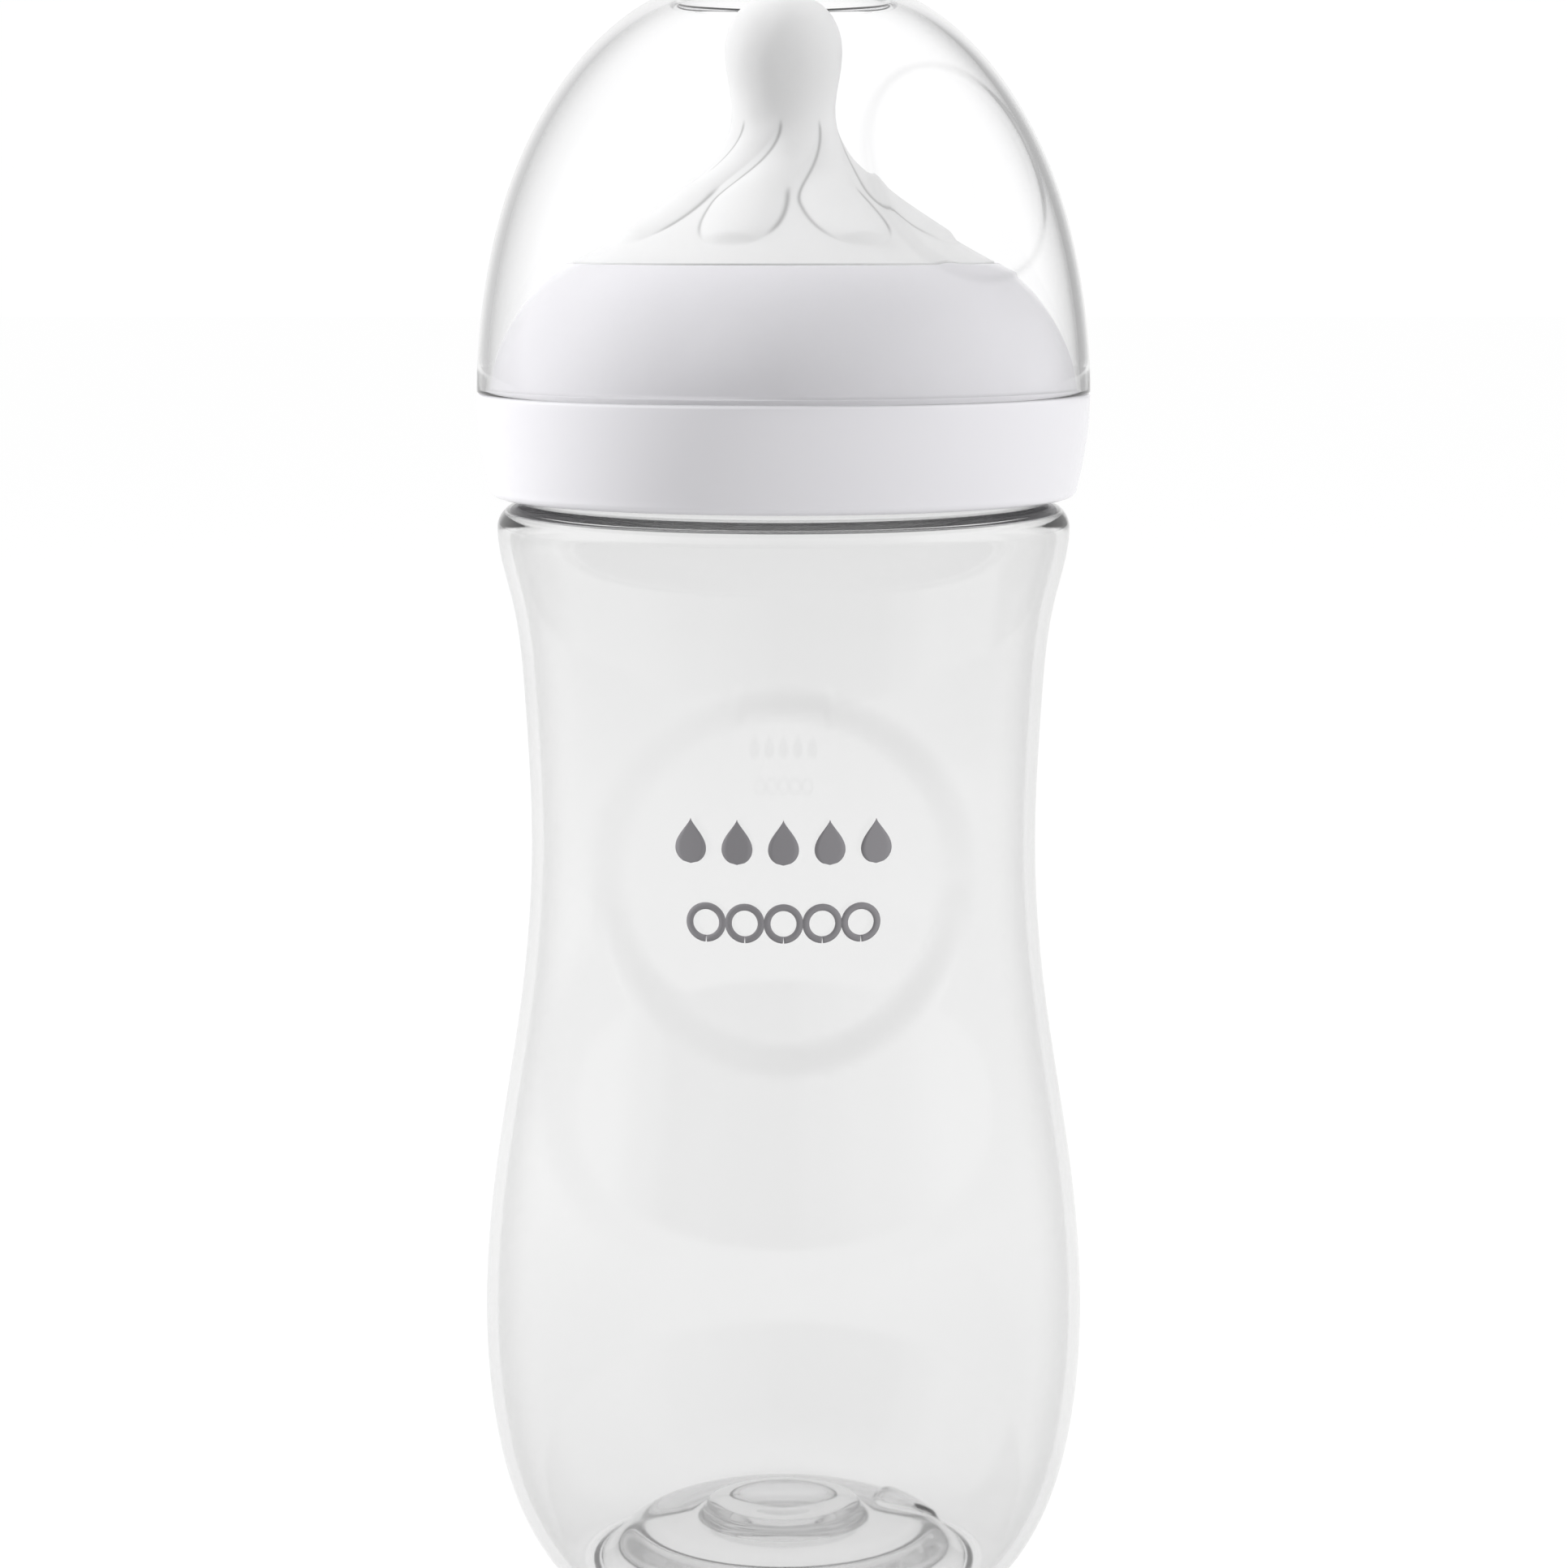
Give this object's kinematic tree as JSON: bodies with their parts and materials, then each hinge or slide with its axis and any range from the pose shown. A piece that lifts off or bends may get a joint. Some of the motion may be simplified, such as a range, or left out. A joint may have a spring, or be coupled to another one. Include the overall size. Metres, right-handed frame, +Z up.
{
  "type": "baby bottle",
  "caption": "Waisted clear feeding bottle with a petalled soft teat, a domed screw ring and a clear domed cap.",
  "frame": {"origin": "on the bottle's axis, on the plane that the bottle stands on", "axes": "+Z up along the bottle's axis; -Y towards the front, where the round dish is pressed into the body; +X to the right seen from the front"},
  "size_m": [0.0702, 0.0702, 0.1873],
  "materials": {
    "bottle_clear": "clear, polished",
    "silicone": "translucent, satin",
    "ring_white": "white, semi-gloss",
    "cap_clear": "clear, polished",
    "print_ink": "matt print"
  },
  "bodies": {
    "bottle_body": {"bottle": "bottle_clear"},
    "teat_body": {"teat": "silicone"},
    "ring_body": {"screw_ring": "ring_white"},
    "cap_body": {"dome_cap": "cap_clear"}
  },
  "joints": [
    {"name": "teat_lift", "type": "slide", "parent": "bottle_body", "child": "teat_body", "axis": [0, 0, 1], "range_m": [0, 0.0063]},
    {"name": "ring_turn", "type": "hinge", "parent": "teat_body", "child": "ring_body", "pos_m": [0, 0, 0.14], "axis": [0, 0, 1], "range_deg": [0, 375]},
    {"name": "cap_lift", "type": "slide", "parent": "ring_body", "child": "cap_body", "axis": [0, 0, 1], "range_m": [0, 0.048]}
  ],
  "couplings": [
    {"joint": "teat_lift", "follows": "ring_turn", "m_per_rad": 0.00095493}
  ]
}
